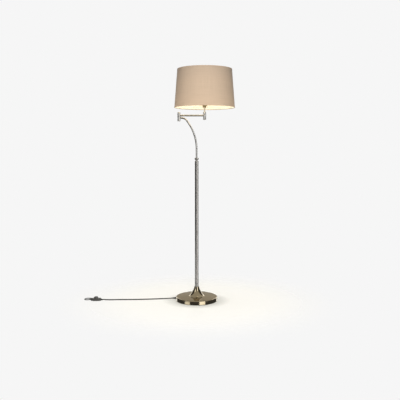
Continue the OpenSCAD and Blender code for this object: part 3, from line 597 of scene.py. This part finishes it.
# %% The cloth as one continuous curved sheet
r_all = np.concatenate([r_out, np.broadcast_to(r_in, (len(heights), SHADE_COLS))])
z_all = np.concatenate([z_out, z_out[::-1]])
cloth_grid = np.stack([HEAD_X + r_all * np.cos(t), r_all * np.sin(t),
                       np.broadcast_to(z_all, r_all.shape)], -1)
girth = np.pi * (LOW_R + TOP_R)
rows_v = np.concatenate([z_all[:, 0], z_all[:1, 0]])
cloth_uv = np.stack(np.broadcast_arrays(
    np.linspace(0, girth, SHADE_COLS + 1)[None], rows_v[:, None]), -1)
cloth = skin("linen_shade", cloth_grid, "head", loop=True, uv=cloth_uv)
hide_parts("shade_fabric")

# %% [markdown]
# ### Linen
# Linen is a plain weave of uneven threads. Two sets of bands, crossed, give the weave;
# noise stretched along each set gives the slubs, the thicker places that catch the light.

# %% Linen
# A wave texture turns through 20 times its scale, in radians, over one metre.
WAVE_TURN, PHASE_PER_METRE = 20, 1500.0
linen, tree, shader = start("linen")
shader.inputs["Roughness"].default_value = 0.85
shader.inputs["Sheen Weight"].default_value = 0.05
shader.inputs["Sheen Roughness"].default_value = 0.5
slub_u = noise(tree, place(tree, (6, 420, 1), "UV"), 1.0, 3.0, 0.6)
slub_v = noise(tree, place(tree, (420, 6, 1), "UV"), 1.0, 3.0, 0.6)
slubs = node(tree, "ShaderNodeMath", operation="ADD")
tree.links.new(slub_u, slubs.inputs[0])
tree.links.new(slub_v, slubs.inputs[1])
weave = []
for direction in ("X", "Y"):
    wave = node(tree, "ShaderNodeTexWave", wave_type="BANDS", bands_direction=direction,
                wave_profile="SIN", Scale=PHASE_PER_METRE / WAVE_TURN, Distortion=0.6)
    wave.inputs["Detail Scale"].default_value = 2.0
    tree.links.new(place(tree, (1, 1, 1), "UV"), wave.inputs["Vector"])
    weave.append(wave.outputs["Fac"])
crossed = node(tree, "ShaderNodeMath", operation="MAXIMUM")
tree.links.new(weave[0], crossed.inputs[0])
tree.links.new(weave[1], crossed.inputs[1])
relief_height = node(tree, "ShaderNodeMath", operation="ADD")
tree.links.new(slubs.outputs[0], relief_height.inputs[0])
tree.links.new(crossed.outputs[0], relief_height.inputs[1])
tree.links.new(ramp(tree, slubs.outputs[0], (0.44, 0.335, 0.24), (0.50, 0.38, 0.275), 0.75, 1.25),
               shader.inputs["Base Color"])
bump(tree, shader, relief_height.outputs[0], 0.3, 0.0003)
# Painted light: the cloth's glow stands in for the bulb's light coming through it, and it darkens
# towards the top as painted shade.
glow_by_height(tree, shader, (shade_low.z, shade_high.z),
               [(0.34, 0.235, 0.145), (0.24, 0.17, 0.11), (0.07, 0.053, 0.039)], 0.46)
print(linen.name, "bands every", round(2 * math.pi / PHASE_PER_METRE / MM, 1), "mm")

# %% [markdown]
# ## The bowed tube
# The tube leaves the pole upright, leans out through one long bend and turns level through a
# short one. Both bends are arcs of circles, so the path is a run of exact arc points and the
# tube is a circle carried along it.

# %% The bow
POLE_TOP, BOW_START, BEND_R, HOOK_R, LEAN = 1021, 960.6, 310, 45, 38
TUBE_R, TUBE_COLS, INTO_KNUCKLE = 6, 40, 8
lean = math.radians(LEAN)
END_Z = POLE_TOP + BEND_R * math.sin(lean) + HOOK_R * (1 - math.sin(lean))
HOOK_X = -BEND_R * (1 - math.cos(lean)) - HOOK_R * math.cos(lean)
bow_xz = np.concatenate([
    np.stack([np.zeros(8), np.linspace(BOW_START, POLE_TOP - 4, 8)], 1),
    arc(-BEND_R, POLE_TOP, BEND_R, 0, LEAN, 48),
    arc(HOOK_X, END_Z - HOOK_R, HOOK_R, LEAN + 2, 90, 26), [[HOOK_X - INTO_KNUCKLE, END_Z]]])
bow_path = np.stack([bow_xz[:, 0], 0 * bow_xz[:, 0], bow_xz[:, 1]], 1) * MM
bow = skin("bowed_tube", sweep(bow_path, TUBE_R * MM, TUBE_COLS, (0, 1, 0)), "bow")
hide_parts("bow_tube")
print("bow length", round(length_of(bow_path), 3), "m, level at", round(END_Z), "mm")

# %% [markdown]
# ## The foot switch
# The switch is two smooth shells that meet at a seam, with a round pedal in the middle. Its
# outline is long and round-ended, and the top swells up softly towards the pedal.

# %% The switch's shells
SWITCH_X, SWITCH_Y, SWITCH_L, SWITCH_W, SWITCH_H, SEAM = -682, -6, 70, 34, 18, 9
END_POWER, SIDE_POWER = 0.78, 0.88
LOW_ROUND, TOP_ROUND, SEAM_GAP, SEAM_SET = 1.5, 6, 0.2, 0.5
switch_at = (SWITCH_X * MM, SWITCH_Y * MM)


def shell_rows(levels, cols=96):
    """At each level (z, share, inset) the outline is a rounded lozenge: x = a cos t to the end
    power and y = b sin t to the side power, moved inwards by inset and shrunk by share."""
    t = np.linspace(0, 2 * np.pi, cols, endpoint=False)[None]
    z, share, inset = (np.array(levels, float)[:, k:k + 1] for k in range(3))
    c, s = np.cos(t), np.sin(t)
    x = (SWITCH_L / 2 - inset) * share * np.sign(c) * np.abs(c) ** END_POWER
    y = (SWITCH_W / 2 - inset) * share * np.sign(s) * np.abs(s) ** SIDE_POWER
    return np.stack([SWITCH_X + x, SWITCH_Y + y, z + 0 * t], -1) * MM


def shoulder(z, r, start, end, steps=7):
    """Levels round an edge of radius r whose arc centre is at height z."""
    a = np.radians(np.linspace(start, end, steps))
    return np.stack([z + r * np.sin(a), 0 * a + 1, r - r * np.cos(a)], 1).tolist()


lower = skin("switch_lower_shell", shell_rows(
    [[0, 0, 0], *shoulder(LOW_ROUND, LOW_ROUND, -90, 0), [SEAM - SEAM_GAP - SEAM_SET, 1, 0],
     [SEAM - SEAM_GAP, 1, SEAM_SET], [SEAM - SEAM_GAP, 0, 0]]), "stand")
upper = skin("switch_upper_shell", shell_rows(
    [[SEAM, 0, 0], [SEAM, 1, SEAM_SET], [SEAM + SEAM_SET, 1, 0], [SEAM + 2, 1, 0],
     *shoulder(SWITCH_H - TOP_ROUND - 0.2, TOP_ROUND, 0, 75)[1:], [SWITCH_H - 0.2, 1, 9],
     [SWITCH_H, 0.42, 0], [SWITCH_H, 0, 0]]), "stand")
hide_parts("switch_lower")
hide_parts("switch_upper")

# %% The round pedal and its collar
# The pedal is a dome with three fine grip rings; the collar is a raised lip in the shell.
PEDAL_R, PEDAL_TOP, PEDAL_LOW = 13.5, 29, 14.6
FLANGE_R, FLANGE_TOP, DOME_ROUND, DOME_START, CROWN_R, CROWN_LOW = 14.6, 16, 4.5, 22.8, 11, 26.9
GRIP_RINGS = (9.6, 7.2, 4.8)
dome = [[0, PEDAL_LOW], [FLANGE_R, PEDAL_LOW], [FLANGE_R, FLANGE_TOP],
        [PEDAL_R, FLANGE_TOP + 0.1], [PEDAL_R, DOME_START - 0.3]]
dome += arc(PEDAL_R - DOME_ROUND, DOME_START, DOME_ROUND, 5, 58, 8).tolist()
for r in GRIP_RINGS:
    z = CROWN_LOW + (PEDAL_TOP - CROWN_LOW) * (1 - (r / CROWN_R) ** 2)
    dome += [[r + 0.35, z - 0.1], [r + 0.2, z - 0.55], [r - 0.2, z - 0.5], [r - 0.35, z + 0.05]]
dome += [[2.4, PEDAL_TOP - 0.06], [0, PEDAL_TOP]]
pedal = skin("switch_foot_pedal", lathe(np.array(dome) * MM, 64, switch_at), "pedal")
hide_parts("switch_pedal")
lip = [[14.1, SWITCH_H - 0.6], [16.2, SWITCH_H - 0.6], [16, SWITCH_H + 0.3],
       [15.4, SWITCH_H + 0.8], [14.7, SWITCH_H + 0.8], [14.1, SWITCH_H + 0.4]]
collar = skin("switch_collar", lathe(np.array(lip) * MM, 64, switch_at), "stand",
              loop=True)

# %% [markdown]
# The pedal rests on a coil spring. A coil can't ride on one body, since its foot stays in the
# switch while its head goes down with the pedal. Here the coil is attached to the stand and gets a
# mesh of its own.

# %% The return spring
COIL_R, WIRE_R, TURNS, COIL_LOW, COIL_HIGH, PRESSED_SHARE = 4.5, 0.4, 4, 7.45, 13.95, 0.57
a = np.linspace(0, 2 * np.pi * TURNS, 32 * TURNS + 1)
coil = np.stack([SWITCH_X + COIL_R * np.cos(a), SWITCH_Y + COIL_R * np.sin(a),
                 COIL_LOW + (COIL_HIGH - COIL_LOW) * a / a[-1]], 1)
spring = skin("pedal_spring", sweep(coil * MM, WIRE_R * MM, 10, (0, 0, 1)), "stand")
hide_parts("switch_spring")
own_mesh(spring)

# %% [markdown]
# ## Dressing the designed parts
# The lathe-turned and tubular parts are already exact, so they keep their own meshes and only
# take a finish. Each finish is put into the part's material slots.

# %% Which finish goes on which part
finishes = {
    satin: ["base_cover"],
    pole_metal: ["pole_tube", "pole_cap", "bow_bead"],
    bright: ["elbow_lower", "elbow_low_cap", "elbow_upper", "elbow_top_cap", "arm_tube",
             "head_barrel", "head_low_cap", "stem_tube", "stem_collar", "harp_saddle"],
    iron: ["base_weight"],
    felt: ["base_pad"],
    steel: ["tie_stud", "tie_nut", "cord_clamp", "clamp_screws", "pole_foot", "bow_spigot",
            "bow_stop_ring", "bow_screws", "elbow_pin", "elbow_pivot", "head_pin",
            "stem_nuts", "bulb_cap"],
    brass: ["bow_bush", "harp", "harp_ferrules", "holder_shell", "screw_shell", "finial",
            "plug_blades"],
    black: ["neck_washer", "elbow_washer", "bow_lead", "arm_lead", "head_lead",
            "holder_insert", "switch_block", "switch_nozzles", "stand_lead"],
    frosted: ["bulb_glass"],
    lining: ["shade_lining"],
    enamel: ["shade_frame"],
}
own_pieces = {bright: [bow], steel: [spring], vinyl: [cord_to_switch, cord_to_plug, plug],
              black: [relief, tie], switch_grey: [lower, upper, pedal, collar], linen: [cloth]}


# %% Put a material on a piece
def dress(piece, material):
    """Puts the material into every slot, or adds one slot."""
    if not piece.material_slots:
        piece.data.materials.append(material)
    for holder in piece.material_slots:
        holder.material = material


# %% Dress every part
for material, names in finishes.items():
    for name in names:
        dress(nodes[name], material)
for material, pieces in own_pieces.items():
    for piece in pieces:
        dress(piece, material)
print("dressed", sum(map(len, finishes.values())), "parts and",
      sum(map(len, own_pieces.values())), "new pieces")
dressed = {name for names in finishes.values() for name in names}
bare = [name for name, piece in nodes.items() if not piece.hide_render and name not in dressed]
print("parts without a finish:", bare)

# %% [markdown]
# ## The room
# The lamp stands on a pale floor that fades into a pale room. Tall soft boxes to the left and
# right draw the bright stripes down the metal, two of them in front and two behind, so the
# lamp shines from every side. Between them the room stays dim, which gives the stripes their
# dark borders. Three other boxes light only the matt things: the cloth, the cord and the floor.

# %% The floor
FLOOR_HALF, FLOOR_SOLID, FLOOR_GONE = 3.0, 0.4, 1.0
FLOOR_SHAPE, FLOOR_OWN = (1, 1.1, 1), 0.55
# Painted light and shade in the floor's own colour: a creamy pool in the middle and a shadow close
# to the base.
PAINTED_SHADOW, PAINTED_SHADOW_REACH = (0.5, 0.5, 0.47), (0.13, 0.235)
PAINTED_POOL_MIDDLE, PAINTED_POOL_EDGE, POOL_LIGHT = (1.0, 0.965, 0.86), (0.97, 0.95, 0.89), 1.2
floor_mesh = bpy.data.meshes.new("floor")
floor_corners = [(-1, -1), (1, -1), (1, 1), (-1, 1)]
floor_mesh.from_pydata([(FLOOR_HALF * x, FLOOR_HALF * y, 0) for x, y in floor_corners], [],
                       [(0, 1, 2, 3)])
floor = bpy.data.objects.new("floor", floor_mesh)
bpy.context.scene.collection.objects.link(floor)
floor.visible_glossy = False
print("floor", 2 * FLOOR_HALF, "m square")

# %% [markdown]
# The floor's light is partly its own and partly what falls on it. Its own light is painted: a
# creamy pool of painted light in the middle, where the lamp shines, and a painted shadow close to
# the base. It clears away at its far edge.

# %% The floor's paint
paint, tree, shader = start("pale_floor")
shader.inputs["Base Color"].default_value = (0.86, 0.855, 0.84, 1)
shader.inputs["Roughness"].default_value = 0.9
shader.inputs["Specular IOR Level"].default_value = 0.1
far = node(tree, "ShaderNodeVectorMath", operation="LENGTH")
tree.links.new(place(tree, FLOOR_SHAPE), far.inputs[0])
own = node(tree, "ShaderNodeEmission", Strength=POOL_LIGHT)
# Painted shadow: close to the base the floor's own light is darkened, as if the base blocked the
# room's light; the creamy middle is a painted pool of light.
painted_pool_and_shadow = node(tree, "ShaderNodeMix", data_type="RGBA", blend_type="MULTIPLY")
painted_pool_and_shadow.inputs["Factor"].default_value = 1.0
tree.links.new(ramp(tree, far.outputs["Value"], PAINTED_POOL_MIDDLE, PAINTED_POOL_EDGE, 0.1, 0.75), painted_pool_and_shadow.inputs[6])
tree.links.new(ramp(tree, far.outputs["Value"], PAINTED_SHADOW, (1, 1, 1), *PAINTED_SHADOW_REACH), painted_pool_and_shadow.inputs[7])
tree.links.new(painted_pool_and_shadow.outputs[2], own.inputs["Color"])
mostly = node(tree, "ShaderNodeMixShader", Fac=FLOOR_OWN)
tree.links.new(shader.outputs["BSDF"], mostly.inputs[1])
tree.links.new(own.outputs["Emission"], mostly.inputs[2])
fade = tree.nodes.new("ShaderNodeMixShader")
clear = tree.nodes.new("ShaderNodeBsdfTransparent")
share = node(tree, "ShaderNodeMapRange", interpolation_type="SMOOTHSTEP")
for key, value in zip(("From Min", "From Max"), (FLOOR_SOLID, FLOOR_GONE)):
    share.inputs[key].default_value = value
tree.links.new(far.outputs["Value"], share.inputs["Value"])
tree.links.new(share.outputs["Result"], fade.inputs["Fac"])
tree.links.new(mostly.outputs["Shader"], fade.inputs[1])
tree.links.new(clear.outputs["BSDF"], fade.inputs[2])
tree.links.new(fade.outputs["Shader"], tree.nodes["Material Output"].inputs["Surface"])
dress(floor, paint)
print("the floor fades from", FLOOR_SOLID, "to", FLOOR_GONE, "m")


# %% Soft boxes
def soft_box(name, at, towards, width, height, radiance, colour=(1, 1, 1), for_gloss=True):
    """A rectangular light that faces a point. Its power is radiance times pi times its area.
    A box for gloss is only mirrored in shiny things; any other box only lights matt things."""
    data = bpy.data.lights.new(name, "AREA")
    data.shape, data.size, data.size_y = "RECTANGLE", width, height
    data.energy = radiance * math.pi * width * height
    data.color = colour
    light = bpy.data.objects.new(name, data)
    way = np.array(towards, float) - np.array(at, float)
    flat = math.hypot(way[0], way[1])
    light.location = at
    light.rotation_euler = (math.atan2(flat, -way[2]), 0, math.atan2(-way[0], way[1]))
    light.visible_camera = False
    light.visible_diffuse, light.visible_glossy = not for_gloss, for_gloss
    bpy.context.scene.collection.objects.link(light)


# %% Set the soft boxes
soft_box("left_low", (-2.3, -1.8, -1.0), (0, 0, -1.0), 1.5, 1.5, 1.5)
soft_box("left_high", (-2.3, -1.8, 1.9), (0, 0, 1.0), 1.3, 1.3, 1.8)
soft_box("right_box", (1.5, -2.5, 0.6), (0, 0, 0.6), 1.6, 3.8, 2.3)
soft_box("behind_left", (-1.45, 2.5, 0.6), (0, 0, 0.6), 0.9, 3.8, 1.7)
soft_box("behind_right", (1.45, 2.5, 0.6), (0, 0, 0.6), 0.9, 3.8, 2.0)
soft_box("ceiling", (0, 0, 3.2), (0, 0, 0), 7.0, 7.0, 0.5, (1, 0.95, 0.84))
soft_box("back_panel", (0, 2.4, 0.75), (0, 0, 0.3), 2.0, 1.1, 0.4, (1, 0.9, 0.72))
soft_box("front_box", (0.05, -3.6, 2.4), (0, 0, 1.3), 1.0, 0.9, 49, for_gloss=False)
soft_box("behind_box", (0, 3.6, 2.4), (0, 0, 1.3), 1.0, 0.9, 16, for_gloss=False)
soft_box("top_box", (0, 0.1, 3.4), (0, 0, 0), 1.2, 1.2, 8, for_gloss=False)
print("soft boxes:", len(bpy.data.lights))

# %% The room's own light
ROOM_SEEN, ROOM_LIGHT = 0.922, 0.07
world = bpy.data.worlds.new("room")
bpy.context.scene.world = world
world.use_nodes = True
tree = world.node_tree
tree.nodes.clear()
seen = node(tree, "ShaderNodeBackground", Color=(1, 1, 1, 1), Strength=ROOM_SEEN)
lit = node(tree, "ShaderNodeBackground", Color=(0.98, 0.99, 1, 1), Strength=ROOM_LIGHT)
pick = tree.nodes.new("ShaderNodeMixShader")
path_kind = tree.nodes.new("ShaderNodeLightPath")
tree.links.new(path_kind.outputs["Is Camera Ray"], pick.inputs["Fac"])
tree.links.new(lit.outputs["Background"], pick.inputs[1])
tree.links.new(seen.outputs["Background"], pick.inputs[2])
tree.links.new(pick.outputs["Shader"], tree.nodes.new("ShaderNodeOutputWorld").inputs["Surface"])
bpy.context.scene.view_settings.view_transform = "Standard"
print("room seen at", ROOM_SEEN, "and lit at", ROOM_LIGHT)
